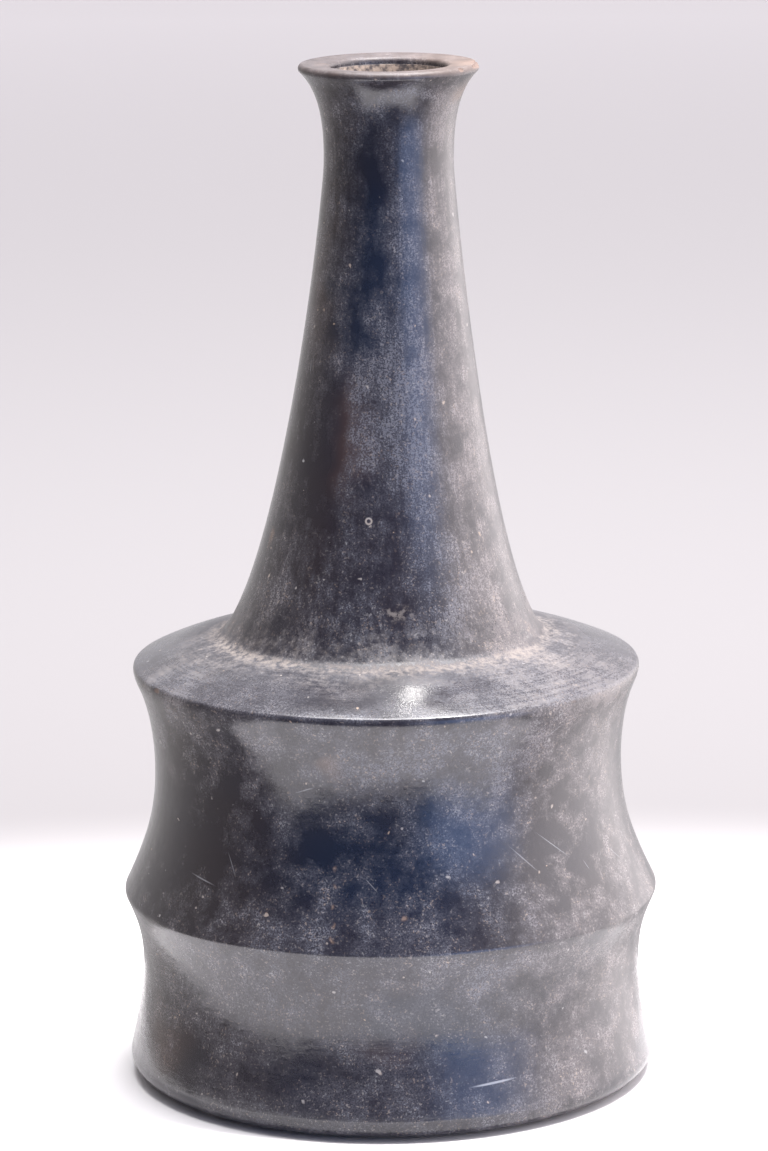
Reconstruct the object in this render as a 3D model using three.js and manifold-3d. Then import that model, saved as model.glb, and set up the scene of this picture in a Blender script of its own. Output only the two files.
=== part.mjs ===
// Burnished pottery jar: a tall-necked vessel of dark earthenware, built by hand in one piece.
// The body is a low drum with a ridge round its waist and a sharp, nearly flat shoulder.
// A long neck sweeps up from the shoulder to a throat, and flares out to a flat lip.
// Millimetres, +Z up. The origin is on the ground, under the middle of the ridge.
import * as THREE from 'three';
import { mergeVertices } from 'three/addons/utils/BufferGeometryUtils.js';
import Module from 'manifold-3d';

// Heights: below the neck, each one is measured up from the end of the one before it
const HEIGHT = 266.5; // ground to the top of the lip
const FOOT_RISE = 5.6; // ground to the widest line of the foot
const LOWER_WAIST_RISE = 23.6; // foot to the hollow of the lower wall
const RIDGE_RISE = 20.5; // lower waist to the ridge's corner
const UPPER_WAIST_RISE = 33.8; // ridge to the hollow of the upper wall
const SHOULDER_RISE = 26.1; // upper waist to the shoulder's corner
const NECK_FOOT_RISE = 7.8; // shoulder's corner to the foot of the neck
const LIP_RISE = 25.5; // throat to the top of the lip

// Radii of the outside: the corners are measured before they are rubbed round
const RIDGE_RADIUS = 70.25;
const FOOT_INSET = 1.15; // the foot, inside the ridge
const FOOT_CONTACT_INSET = 7.6; // the flat that stands on the ground, inside the foot
const LOWER_WAIST_INSET = 4.8; // inside the ridge
const UPPER_WAIST_INSET = 9.05; // inside the ridge
const SHOULDER_INSET = 3.15; // inside the ridge
const NECK_FOOT_RADIUS = 42.1;
const THROAT_RADIUS = 16.75;
const LIP_OVERHANG = 6.5; // lip, outside the throat

// Walls and the mouth
const BODY_WALL = 5.5;
const NECK_WALL = 5;
const FLOOR_THICKNESS = 7;
const FLOOR_CORNER = 8; // round between the floor and the wall, inside
const MOUTH_RADIUS = 15;
const MOUTH_FALL = 0.35; // how far the top of the lip falls towards the mouth
const MOUTH_EDGE = 1.6; // round at the mouth's edge

// Rounds of the outside: how far each one reaches along the walls from its corner
const RIDGE_ROUND = 1;
const SHOULDER_ROUND = 1.2;
const NECK_FOOT_ROUND = 2.5;
const LIP_ROUND = 1.3; // radius of the lip's edge

// Bends of the wall: the heading in degrees where a stretch leaves and arrives (0 is straight
// out from the axis, 90 straight up, 180 straight in), and how far each heading holds, as a
// share of the stretch
const UPWARDS = 90;
const FOOT_BEND = { leave: 0, arrive: 90, leaveHold: 0.42, arriveHold: 0.36 };
const LOWER_WAIST_BEND = { leave: 90, arrive: 90, leaveHold: 0.05, arriveHold: 0.34 };
const RIDGE_BEND = { leave: 90, arrive: 67, leaveHold: 0.5, arriveHold: 0.28 };
const UPPER_WAIST_BEND = { leave: 116, arrive: 90, leaveHold: 0.41, arriveHold: 0.36 };
const SHOULDER_BEND = { leave: 90, arrive: 65, leaveHold: 0.4, arriveHold: 0.23 };
const CROWN_BEND = { leave: 155, arrive: 170, leaveHold: 0.33, arriveHold: 0.33 };
const NECK_BEND = { leave: 122, arrive: 90, leaveHold: 0.224, arriveHold: 0.047 };
const FLARE_BEND = { leave: 90, arrive: 44, leaveHold: 0.26, arriveHold: 0.35 };
const BORE_BEND = { leave: 270, arrive: 270, leaveHold: 0.4, arriveHold: 0.4 };

// Leaning, as hand work does: how far towards +X each level's centre is off the ridge's
const FOOT_LEAN = -0.1;
const SHOULDER_LEAN = -0.6;
const NECK_FOOT_LEAN = -1.45;
const MOUTH_LEAN = 1.7;
const NECK_STRAIGHTENING = 1.6; // how early on its way up the neck makes its lean

// Chips in the edges: direction round the jar in degrees (0 is +X, 270 the front), then the
// length along the edge, the height and the depth of the missing flake
const CHIPS_OF_SHOULDER = [
  { direction: 207, length: 5, height: 3.2, depth: 1 },
  { direction: 316, length: 4.4, height: 2.4, depth: 0.8 },
  { direction: 344, length: 9, height: 2.2, depth: 0.6 },
];
const CHIPS_OF_LIP = [{ direction: 358, length: 11, height: 3, depth: 0.7 }];
const FLAKE_SIDES = 1; // subdivisions of the solid that strikes a flake off

// Fineness of the faceted solid
const TURN_STEPS = 56; // flats round the jar
const CURVE_STEPS = 240; // points along each bend, before thinning
const BORE_STEP = 0.5; // height between the inside's points, before thinning
const OUTSIDE_TOLERANCE = 0.13; // most that thinning may move the outside
const INSIDE_TOLERANCE = 0.35; // and the inside

const COLOUR = 0x4d4a50;
const ROUGHNESS = 0.34;
const METALNESS = 0;

const footRadius = RIDGE_RADIUS - FOOT_INSET;
const lowerWaistHeight = FOOT_RISE + LOWER_WAIST_RISE;
const ridgeHeight = lowerWaistHeight + RIDGE_RISE;
const upperWaistHeight = ridgeHeight + UPPER_WAIST_RISE;
const shoulderHeight = upperWaistHeight + SHOULDER_RISE;
const shoulderRadius = RIDGE_RADIUS - SHOULDER_INSET;
const neckFootHeight = shoulderHeight + NECK_FOOT_RISE;
const throatHeight = HEIGHT - LIP_RISE;
const lipRadius = THROAT_RADIUS + LIP_OVERHANG;

const at = (radius, height) => new THREE.Vector2(radius, height);

function heading(degrees) {
  const angle = THREE.MathUtils.degToRad(degrees);
  return at(Math.cos(angle), Math.sin(angle));
}

const onwards = (point, degrees, distance) => point.clone().addScaledVector(heading(degrees), distance);

// One bend of the wall between two points
function bend(from, to, { leave, arrive, leaveHold, arriveHold }) {
  const stretch = from.distanceTo(to);
  const first = onwards(from, leave, leaveHold * stretch);
  const last = onwards(to, arrive, -arriveHold * stretch);
  return new THREE.CubicBezierCurve(from, first, last, to).getPoints(CURVE_STEPS);
}

// A corner rubbed round, from where the wall below it stops to where the next one starts
function roundCorner(from, corner, to) {
  return new THREE.QuadraticBezierCurve(from, corner, to).getPoints(CURVE_STEPS);
}

// The outside from the widest line of the foot up to the throat
function wallOutside() {
  const foot = at(footRadius, FOOT_RISE);
  const lowerWaist = at(RIDGE_RADIUS - LOWER_WAIST_INSET, lowerWaistHeight);
  const ridge = at(RIDGE_RADIUS, ridgeHeight);
  const belowRidge = onwards(ridge, RIDGE_BEND.arrive, -RIDGE_ROUND);
  const aboveRidge = onwards(ridge, UPPER_WAIST_BEND.leave, RIDGE_ROUND);
  const upperWaist = at(RIDGE_RADIUS - UPPER_WAIST_INSET, upperWaistHeight);
  const shoulder = at(shoulderRadius, shoulderHeight);
  const belowShoulder = onwards(shoulder, SHOULDER_BEND.arrive, -SHOULDER_ROUND);
  const aboveShoulder = onwards(shoulder, CROWN_BEND.leave, SHOULDER_ROUND);
  const neckFoot = at(NECK_FOOT_RADIUS, neckFootHeight);
  const belowNeck = onwards(neckFoot, CROWN_BEND.arrive, -NECK_FOOT_ROUND);
  const aboveNeck = onwards(neckFoot, NECK_BEND.leave, NECK_FOOT_ROUND);
  return [
    ...bend(foot, lowerWaist, LOWER_WAIST_BEND),
    ...bend(lowerWaist, belowRidge, RIDGE_BEND),
    ...roundCorner(belowRidge, ridge, aboveRidge),
    ...bend(aboveRidge, upperWaist, UPPER_WAIST_BEND),
    ...bend(upperWaist, belowShoulder, SHOULDER_BEND),
    ...roundCorner(belowShoulder, shoulder, aboveShoulder),
    ...bend(aboveShoulder, belowNeck, CROWN_BEND),
    ...roundCorner(belowNeck, neckFoot, aboveNeck),
    ...bend(aboveNeck, at(THROAT_RADIUS, throatHeight), NECK_BEND),
  ];
}

// The flare above the throat, the lip's round edge and its top, up to the mouth's edge
function lip() {
  const edge = at(lipRadius - LIP_ROUND, HEIGHT - LIP_ROUND);
  const underside = FLARE_BEND.arrive - UPWARDS;
  const flare = bend(at(THROAT_RADIUS, throatHeight), onwards(edge, underside, LIP_ROUND), FLARE_BEND);
  const round = [];
  for (let step = 0; step <= CURVE_STEPS; step += 1) {
    const around = THREE.MathUtils.lerp(underside, UPWARDS, step / CURVE_STEPS);
    round.push(onwards(edge, around, LIP_ROUND));
  }
  const rim = at(MOUTH_RADIUS, HEIGHT - MOUTH_FALL);
  const beforeRim = at(MOUTH_RADIUS + MOUTH_EDGE, HEIGHT - MOUTH_FALL);
  const afterRim = at(MOUTH_RADIUS, rim.y - MOUTH_EDGE);
  return [...flare, ...round, ...roundCorner(beforeRim, rim, afterRim)];
}

// Thickness of the wall at a height: the shoulder passes from the body's to the neck's
function wallAt(height) {
  const share = THREE.MathUtils.smoothstep(height, shoulderHeight, neckFootHeight);
  return THREE.MathUtils.lerp(BODY_WALL, NECK_WALL, share);
}

// Radius of the inside at a height: as close as a ball of the wall's thickness, rolled along
// the outside, lets it come
function insideAt(outside, height) {
  const wall = wallAt(height);
  let radius = Infinity;
  for (const point of outside) {
    const rise = Math.abs(point.y - height);
    if (rise < wall) {
      radius = Math.min(radius, point.x - Math.sqrt(wall * wall - rise * rise));
    }
  }
  return radius;
}

// The inside from the mouth's edge down to the middle of the floor
function wallInside(outside) {
  const throat = at(THROAT_RADIUS - NECK_WALL, throatHeight - NECK_WALL);
  const rim = at(MOUTH_RADIUS, HEIGHT - MOUTH_FALL - MOUTH_EDGE);
  const points = bend(rim, throat, BORE_BEND);
  const cornerHeight = FLOOR_THICKNESS + FLOOR_CORNER;
  for (let height = throat.y - BORE_STEP; height > cornerHeight; height -= BORE_STEP) {
    points.push(at(insideAt(outside, height), height));
  }
  const corner = at(insideAt(outside, cornerHeight) - FLOOR_CORNER, cornerHeight);
  for (let step = 0; step <= CURVE_STEPS; step += 1) {
    const around = THREE.MathUtils.lerp(0, -UPWARDS, step / CURVE_STEPS);
    points.push(onwards(corner, around, FLOOR_CORNER));
  }
  return [...points, at(0, FLOOR_THICKNESS)];
}

// Only the points that a shape needs: between two kept points, no other is further from the
// straight line than the tolerance
function thin(points, tolerance) {
  const first = points[0];
  const last = points[points.length - 1];
  const along = last.clone().sub(first);
  let farthest = 0;
  let distance = 0;
  for (let index = 1; index < points.length - 1; index += 1) {
    const offset = points[index].clone().sub(first);
    const length = Math.max(along.length(), tolerance);
    const away = Math.abs(along.cross(offset)) / length;
    if (away > distance) {
      distance = away;
      farthest = index;
    }
  }
  if (distance <= tolerance) {
    return [first, last];
  }
  const before = thin(points.slice(0, farthest + 1), tolerance);
  const after = thin(points.slice(farthest), tolerance);
  return [...before, ...after.slice(1)];
}

// The whole outline, from the middle of the underside round to the middle of the floor
function outline() {
  const contact = at(footRadius - FOOT_CONTACT_INSET, 0);
  const foot = bend(contact, at(footRadius, FOOT_RISE), FOOT_BEND);
  const wall = wallOutside();
  return [
    at(0, 0),
    ...thin([...foot, ...wall, ...lip()], OUTSIDE_TOLERANCE),
    ...thin(wallInside(wall), INSIDE_TOLERANCE).slice(1),
  ];
}

// How far the jar leans towards +X at a height
function leanAt(height) {
  if (height <= ridgeHeight) {
    return THREE.MathUtils.mapLinear(height, 0, ridgeHeight, FOOT_LEAN, 0);
  }
  if (height <= shoulderHeight) {
    return THREE.MathUtils.mapLinear(height, ridgeHeight, shoulderHeight, 0, SHOULDER_LEAN);
  }
  if (height <= neckFootHeight) {
    const end = NECK_FOOT_LEAN;
    return THREE.MathUtils.mapLinear(height, shoulderHeight, neckFootHeight, SHOULDER_LEAN, end);
  }
  const left = Math.max(0, (HEIGHT - height) / (HEIGHT - neckFootHeight));
  return THREE.MathUtils.lerp(NECK_FOOT_LEAN, MOUTH_LEAN, 1 - left ** NECK_STRAIGHTENING);
}

// The turned wall, stood upright and leant level by level
function turnedWall() {
  const geometry = new THREE.LatheGeometry(outline(), TURN_STEPS);
  geometry.rotateX(Math.PI / 2);
  const position = geometry.getAttribute('position');
  for (let index = 0; index < position.count; index += 1) {
    position.setX(index, position.getX(index) + leanAt(position.getZ(index)));
  }
  return geometry;
}

// The solid that strikes one flake off an edge, at the edge's radius and height
function flake(radius, height, chip) {
  const geometry = new THREE.IcosahedronGeometry(1, FLAKE_SIDES);
  geometry.scale(chip.depth, chip.length / 2, chip.height / 2);
  geometry.translate(radius, 0, 0);
  geometry.rotateZ(THREE.MathUtils.degToRad(chip.direction));
  geometry.translate(leanAt(height), 0, height);
  return geometry;
}

const manifoldLibrary = await Module();
manifoldLibrary.setup();

function toSolid(geometry) {
  const bare = geometry.clone();
  bare.deleteAttribute('normal');
  bare.deleteAttribute('uv');
  const merged = mergeVertices(bare);
  const vertProperties = new Float32Array(merged.getAttribute('position').array);
  const triVerts = new Uint32Array(merged.getIndex().array);
  const mesh = new manifoldLibrary.Mesh({ numProp: 3, vertProperties, triVerts });
  return new manifoldLibrary.Manifold(mesh);
}

function toGeometry(solid) {
  const mesh = solid.getMesh();
  const geometry = new THREE.BufferGeometry();
  geometry.setAttribute('position', new THREE.BufferAttribute(mesh.vertProperties, 3));
  geometry.setIndex(new THREE.BufferAttribute(mesh.triVerts, 1));
  geometry.computeVertexNormals();
  return geometry;
}

function jarGeometry() {
  const flakes = [];
  for (const chip of CHIPS_OF_SHOULDER) {
    flakes.push(flake(shoulderRadius, shoulderHeight, chip));
  }
  for (const chip of CHIPS_OF_LIP) {
    flakes.push(flake(lipRadius, HEIGHT - LIP_ROUND, chip));
  }
  let solid = toSolid(turnedWall());
  for (const geometry of flakes) {
    solid = solid.subtract(toSolid(geometry));
  }
  return toGeometry(solid);
}

const clay = new THREE.MeshStandardMaterial({
  color: COLOUR,
  roughness: ROUGHNESS,
  metalness: METALNESS,
});

const jar = new THREE.Mesh(jarGeometry(), clay);
jar.name = 'jar';

const group = new THREE.Group();
group.add(jar);

export default group;
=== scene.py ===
# %% [markdown]
# A burnished pottery jar. The real one is a hand-built, long-necked bottle of dark earthenware:
# its skin was rubbed with a smooth stone before firing, so it shines softly, and long burial left
# pale grains, a grey film, fine scratches and a cream deposit where the neck meets the shoulder.
# The piece is one wall of clay turned round an axis, so it is made by Geometry Nodes from its
# outline. All the rest is the finish: one layered material, and lights for its reflections.

# %% Load the measured model
import math
import random

import bmesh
import bpy
from mathutils import Matrix, Vector, noise


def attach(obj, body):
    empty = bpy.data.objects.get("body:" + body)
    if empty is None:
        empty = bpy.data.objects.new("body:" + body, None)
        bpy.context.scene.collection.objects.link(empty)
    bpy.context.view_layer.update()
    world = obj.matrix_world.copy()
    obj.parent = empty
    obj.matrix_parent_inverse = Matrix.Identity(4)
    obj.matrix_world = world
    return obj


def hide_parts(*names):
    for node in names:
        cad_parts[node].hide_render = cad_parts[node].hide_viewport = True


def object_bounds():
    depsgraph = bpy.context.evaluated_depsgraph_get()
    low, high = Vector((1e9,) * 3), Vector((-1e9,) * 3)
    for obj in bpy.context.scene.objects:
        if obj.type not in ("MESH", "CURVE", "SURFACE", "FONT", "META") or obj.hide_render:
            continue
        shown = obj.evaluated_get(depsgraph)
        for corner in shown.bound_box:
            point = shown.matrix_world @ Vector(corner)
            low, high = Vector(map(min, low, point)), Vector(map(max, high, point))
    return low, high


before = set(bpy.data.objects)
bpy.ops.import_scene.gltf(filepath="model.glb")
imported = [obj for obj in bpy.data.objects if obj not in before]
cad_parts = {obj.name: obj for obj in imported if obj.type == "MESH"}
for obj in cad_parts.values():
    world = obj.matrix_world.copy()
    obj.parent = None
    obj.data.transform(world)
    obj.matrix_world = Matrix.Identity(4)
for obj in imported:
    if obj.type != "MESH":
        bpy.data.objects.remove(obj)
CAD_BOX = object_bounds()
MM = 0.001
print("measured model:", [round(side / MM, 1) for side in CAD_BOX[1] - CAD_BOX[0]], "mm")

# %% [markdown]
# Sizes. They are the real jar's, in millimetres, and repeat the ones that the measured model was
# built from. Heights are from the ground. The two corners, at the ridge and at the shoulder, are
# given before they are rubbed round.

# %% Driving sizes
HEIGHT = (CAD_BOX[1].z - CAD_BOX[0].z) / MM
FOOT_HEIGHT = 5.6
LOWER_WAIST_HEIGHT = 29.2
RIDGE_HEIGHT = 49.7
UPPER_WAIST_HEIGHT = 83.5
SHOULDER_HEIGHT = 109.6
NECK_FOOT_HEIGHT = 117.4
THROAT_HEIGHT = 241.0
RIDGE_RADIUS = 70.2
FOOT_RADIUS = 69.1
CONTACT_RADIUS = 61.5
LOWER_WAIST_RADIUS = 65.45
UPPER_WAIST_RADIUS = 61.2
SHOULDER_RADIUS = 67.1
NECK_FOOT_RADIUS = 42.1
THROAT_RADIUS = 16.75
LIP_RADIUS = 23.25
MOUTH_RADIUS = 15.0
BODY_WALL = 5.5
NECK_WALL = 5.0
FLOOR_THICKNESS = 7.0
FLOOR_CORNER = 8.0
RIDGE_ROUND = 1.0
SHOULDER_ROUND_BELOW = 5.0
SHOULDER_ROUND_ABOVE = 1.9
NECK_FOOT_ROUND = 2.5
LIP_ROUND = 1.3
MOUTH_FALL = 0.35
MOUTH_EDGE = 1.6
print("height", round(HEIGHT, 1), "mm, widest", 2 * RIDGE_RADIUS, "mm")

# %% [markdown]
# The outline. A potter's profile is a few smooth sweeps that meet in corners. Each sweep could be
# a long list of points, but a Bezier curve says the same with two points and two headings, and it
# stays editable. A heading is in degrees: 0 is straight out from the axis, 90 straight up.

# %% Sweeps and corners
CURVE_STEPS = 200
OUTWARDS, UPRIGHT, DOWNWARDS = 0, 90, 270
BELOW_RIDGE, ABOVE_RIDGE = 67, 116
BELOW_SHOULDER, ABOVE_SHOULDER = 65, 155
BELOW_NECK, ABOVE_NECK = 170, 122
LIP_FLARE = 44
HOLDS = {  # shares of a sweep's length for which it holds its first and its last heading
    "foot round": (0.42, 0.36),
    "foot": (0.05, 0.34),
    "below the ridge": (0.5, 0.28),
    "above the ridge": (0.41, 0.36),
    "below the shoulder": (0.4, 0.23),
    "shoulder": (0.33, 0.33),
    "neck": (0.224, 0.047),
    "flare": (0.26, 0.35),
    "mouth": (0.4, 0.4),
}


def heading(degrees):
    angle = math.radians(degrees)
    return Vector((math.cos(angle), math.sin(angle)))


def sweep(name, start, end, leave, arrive):
    """Points of one smooth stretch of the wall, as (radius, height)."""
    leave_hold, arrive_hold = HOLDS[name]
    stretch = (end - start).length
    first = start + heading(leave) * leave_hold * stretch
    last = end - heading(arrive) * arrive_hold * stretch
    points = []
    for step in range(CURVE_STEPS + 1):
        t = step / CURVE_STEPS
        s = 1 - t
        points.append(s**3 * start + 3 * s * s * t * first + 3 * s * t * t * last + t**3 * end)
    return points


def round_corner(start, corner, end):
    """Points of a corner that was rubbed round."""
    points = []
    for step in range(CURVE_STEPS + 1):
        t = step / CURVE_STEPS
        points.append((1 - t) ** 2 * start + 2 * (1 - t) * t * corner + t * t * end)
    return points


print(len(HOLDS), "sweeps of", CURVE_STEPS, "steps")

# %% The outside, with its ridge and shoulder


def wall_outside():
    """The outside, from the widest line of the foot up to the throat."""
    foot = Vector((FOOT_RADIUS, FOOT_HEIGHT))
    lower_waist = Vector((LOWER_WAIST_RADIUS, LOWER_WAIST_HEIGHT))
    ridge = Vector((RIDGE_RADIUS, RIDGE_HEIGHT))
    upper_waist = Vector((UPPER_WAIST_RADIUS, UPPER_WAIST_HEIGHT))
    shoulder = Vector((SHOULDER_RADIUS, SHOULDER_HEIGHT))
    neck_foot = Vector((NECK_FOOT_RADIUS, NECK_FOOT_HEIGHT))
    throat = Vector((THROAT_RADIUS, THROAT_HEIGHT))
    below_ridge = ridge - heading(BELOW_RIDGE) * RIDGE_ROUND
    above_ridge = ridge + heading(ABOVE_RIDGE) * RIDGE_ROUND
    below_shoulder = shoulder - heading(BELOW_SHOULDER) * SHOULDER_ROUND_BELOW
    above_shoulder = shoulder + heading(ABOVE_SHOULDER) * SHOULDER_ROUND_ABOVE
    below_neck = neck_foot - heading(BELOW_NECK) * NECK_FOOT_ROUND
    above_neck = neck_foot + heading(ABOVE_NECK) * NECK_FOOT_ROUND
    return [
        *sweep("foot", foot, lower_waist, UPRIGHT, UPRIGHT),
        *sweep("below the ridge", lower_waist, below_ridge, UPRIGHT, BELOW_RIDGE),
        *round_corner(below_ridge, ridge, above_ridge),
        *sweep("above the ridge", above_ridge, upper_waist, ABOVE_RIDGE, UPRIGHT),
        *sweep("below the shoulder", upper_waist, below_shoulder, UPRIGHT, BELOW_SHOULDER),
        *round_corner(below_shoulder, shoulder, above_shoulder),
        *sweep("shoulder", above_shoulder, below_neck, ABOVE_SHOULDER, BELOW_NECK),
        *round_corner(below_neck, neck_foot, above_neck),
        *sweep("neck", above_neck, throat, ABOVE_NECK, UPRIGHT),
    ]


def lip():
    """The flare, the lip's round edge and its flat top, up to the mouth's edge."""
    edge = Vector((LIP_RADIUS - LIP_ROUND, HEIGHT - LIP_ROUND))
    underside = LIP_FLARE - UPRIGHT
    throat = Vector((THROAT_RADIUS, THROAT_HEIGHT))
    flare_end = edge + heading(underside) * LIP_ROUND
    flare = sweep("flare", throat, flare_end, UPRIGHT, LIP_FLARE)
    turn = UPRIGHT - underside
    edge_round = []
    for step in range(CURVE_STEPS + 1):
        edge_round.append(edge + heading(underside + turn * step / CURVE_STEPS) * LIP_ROUND)
    rim = Vector((MOUTH_RADIUS, HEIGHT - MOUTH_FALL))
    rim_round = round_corner(rim + Vector((MOUTH_EDGE, 0)), rim, rim - Vector((0, MOUTH_EDGE)))
    return [*flare, *edge_round, *rim_round]


contact = Vector((CONTACT_RADIUS, 0))
foot_edge = Vector((FOOT_RADIUS, FOOT_HEIGHT))
foot_round = sweep("foot round", contact, foot_edge, OUTWARDS, UPRIGHT)
outside_line = wall_outside()
lip_line = lip()
print("outside measured at", len(outside_line), "points, foot and lip at",
      len(foot_round) + len(lip_line))

# %% [markdown]
# The inside. The photo doesn't show it, so it keeps the wall's thickness everywhere. Moving each
# point inwards would make loops in the sharp corners; a ball of that thickness, rolled along the
# outside, can't.

# %% The inside, a wall's thickness away
BORE_STEP = 0.5


def inside_radius(outside, height):
    """Where a ball of the wall's thickness, rolled along the outside, stops the inside."""
    blend = (height - SHOULDER_HEIGHT) / (NECK_FOOT_HEIGHT - SHOULDER_HEIGHT)
    wall = BODY_WALL + (NECK_WALL - BODY_WALL) * min(max(blend, 0), 1)
    reach = [p for p in outside if abs(p.y - height) < wall]
    return min(p.x - math.sqrt(wall**2 - (p.y - height) ** 2) for p in reach)


def wall_inside(outside):
    """The inside, from the mouth's edge down to the middle of the floor."""
    rim = Vector((MOUTH_RADIUS, HEIGHT - MOUTH_FALL - MOUTH_EDGE))
    throat = Vector((THROAT_RADIUS - NECK_WALL, THROAT_HEIGHT - NECK_WALL))
    points = sweep("mouth", rim, throat, DOWNWARDS, DOWNWARDS)
    corner_height = FLOOR_THICKNESS + FLOOR_CORNER
    height = throat.y - BORE_STEP
    while height > corner_height:
        points.append(Vector((inside_radius(outside, height), height)))
        height -= BORE_STEP
    corner = Vector((inside_radius(outside, corner_height) - FLOOR_CORNER, corner_height))
    for step in range(CURVE_STEPS + 1):
        points.append(corner + heading(-90 * step / CURVE_STEPS) * FLOOR_CORNER)
    return [*points, Vector((0, FLOOR_THICKNESS))]


inside_line = wall_inside(outside_line)
print("inside measured at", len(inside_line), "points")

# %% [markdown]
# Rows. The fine wall needs close rows at the corners and wide ones on the plain stretches. Walking
# along the outline and taking a point whenever the direction or the distance has changed enough
# gives just that, with a few numbers to set instead of a list.

# %% Thin the outline into rows
SHORTEST_ROW, SAME_POINT = 0.12, 1e-6
OUTSIDE_ROW, OUTSIDE_TURN = 1.7, 6
INSIDE_ROW, INSIDE_TURN = 6.0, 9
UNDER_MOUTH = 0.7


def rows_along(points, longest, turn):
    """Points at most `longest` apart, and closer where the line turns by `turn` degrees."""
    kept = [points[0]]
    direction = None
    for before, point in zip(points, points[1:]):
        if (point - before).length < SAME_POINT:
            continue
        now = (point - before).normalized()
        direction = direction or now
        bent = math.degrees(direction.angle(now))
        if (point - kept[-1]).length >= longest or bent >= turn:
            if (point - kept[-1]).length > SHORTEST_ROW:
                kept.append(point)
                direction = now
    return [*kept, points[-1]]


outer_rows = rows_along([*foot_round, *outside_line, *lip_line], OUTSIDE_ROW, OUTSIDE_TURN)
inner_rows = rows_along(inside_line, INSIDE_ROW, INSIDE_TURN)
inner_rows.insert(1, inner_rows[0] - Vector((0, UNDER_MOUTH)))
print(len(outer_rows), "rows outside,", len(inner_rows), "rows inside")

# %% [markdown]
# The lean. No hand-built neck is quite upright: this one starts a little left of the middle and
# leans right on its way up. The lean goes on the outline as an attribute, one value to a row, so
# that the node tree can read it by name, beside another that tells the outside from the inside.

# %% The outline as a mesh of points
LEANS = [(0, -0.1), (RIDGE_HEIGHT, 0.0), (SHOULDER_HEIGHT, -0.6), (NECK_FOOT_HEIGHT, -1.45)]
MOUTH_LEAN, LEAN_CURVE = 1.7, 1.6


def lean_at(height):
    """How far a level's centre is moved towards +X."""
    for (low, start), (high, end) in zip(LEANS, LEANS[1:]):
        if height <= high:
            return start + (end - start) * (height - low) / (high - low)
    left = max(0.0, (HEIGHT - height) / (HEIGHT - NECK_FOOT_HEIGHT))
    return LEANS[-1][1] + (MOUTH_LEAN - LEANS[-1][1]) * (1 - left**LEAN_CURVE)


def outline_mesh():
    rows = [(Vector((0, 0)), 1.0), *((row, 1.0) for row in outer_rows)]
    rows += [(row, 0.0) for row in inner_rows[1:]]
    mesh = bpy.data.meshes.new("jar_outline")
    mesh.from_pydata([(row.x * MM, 0, row.y * MM) for row, _ in rows], [], [])
    lean = mesh.attributes.new("lean", "FLOAT", "POINT")
    lean.data.foreach_set("value", [lean_at(row.y) * MM for row, _ in rows])
    outside = mesh.attributes.new("outside", "FLOAT", "POINT")
    outside.data.foreach_set("value", [side for _, side in rows])
    return mesh


outline = outline_mesh()
print("outline has", len(outline.vertices), "rows")

# %% [markdown]
# Node trees as sums. Shader maths and geometry maths are both chains of Math nodes, which read
# badly one node at a time. A small class that stands for one output lets Python's own operators
# add those nodes, so that a mask is written as it would be said: `1 - film * 0.5`.

# %% One class for every node tree


class Wire:
    """One output of a node. Arithmetic on it adds Math nodes to its tree."""

    def __init__(self, socket):
        self.socket = socket

    @classmethod
    def node(cls, tree, kind, settings=None, inputs=None, output=0):
        """A new node: its settings first, then the values or wires of its inputs."""
        made = tree.nodes.new(kind)
        for name, value in (settings or {}).items():
            if name == "stops":
                ramp = made.color_ramp
                while len(ramp.elements) < len(value):
                    ramp.elements.new(1.0)
                for element, (position, colour) in zip(ramp.elements, value):
                    element.position = position
                    element.color = colour
            else:
                setattr(made, name, value)
        for name, value in (inputs or {}).items():
            if isinstance(value, Wire):
                tree.links.new(value.socket, made.inputs[name])
            else:
                made.inputs[name].default_value = value
        return cls(made.outputs[output]) if made.outputs else None

    def also(self, name):
        """Another output of the same node."""
        return Wire(self.socket.node.outputs[name])

    def math(self, operation, *values):
        inputs = dict(enumerate((self, *values)))
        return Wire.node(self.socket.id_data, "ShaderNodeMath", {"operation": operation}, inputs)

    def __add__(self, other):
        return self.math("ADD", other)

    __radd__ = __add__

    def __mul__(self, other):
        return self.math("MULTIPLY", other)

    __rmul__ = __mul__

    def __sub__(self, other):
        return self.math("SUBTRACT", other)

    def __rsub__(self, other):
        return (self * -1.0) + other

    def __truediv__(self, other):
        return self.math("DIVIDE", other)

    def __rtruediv__(self, other):
        return (self ** -1.0) * other

    def __pow__(self, other):
        return self.math("POWER", other)

    def larger(self, other):
        return self.math("MAXIMUM", other)

    def smaller(self, other):
        return self.math("MINIMUM", other)

    def rise(self, low, high):
        """0 below low, 1 above high, smooth between."""
        settings = {"interpolation_type": "SMOOTHSTEP"}
        inputs = {"Value": self, "From Min": low, "From Max": high}
        return Wire.node(self.socket.id_data, "ShaderNodeMapRange", settings, inputs)

    def fall(self, low, high):
        return 1 - self.rise(low, high)


print("sums of nodes ready")

# %% [markdown]
# The wall. Turning an outline is what the Screw modifier or a spin does too, but a node tree can
# lean each level and add the small unevenness of hand work in the same pass, with every size an
# input of the modifier. A flat grid has one column for each step round the jar and one row for
# each point of the outline; each of its corners looks up its row's radius, height and lean.

# %% A node tree that turns the outline
SAME_PLACE = 1e-6


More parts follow.
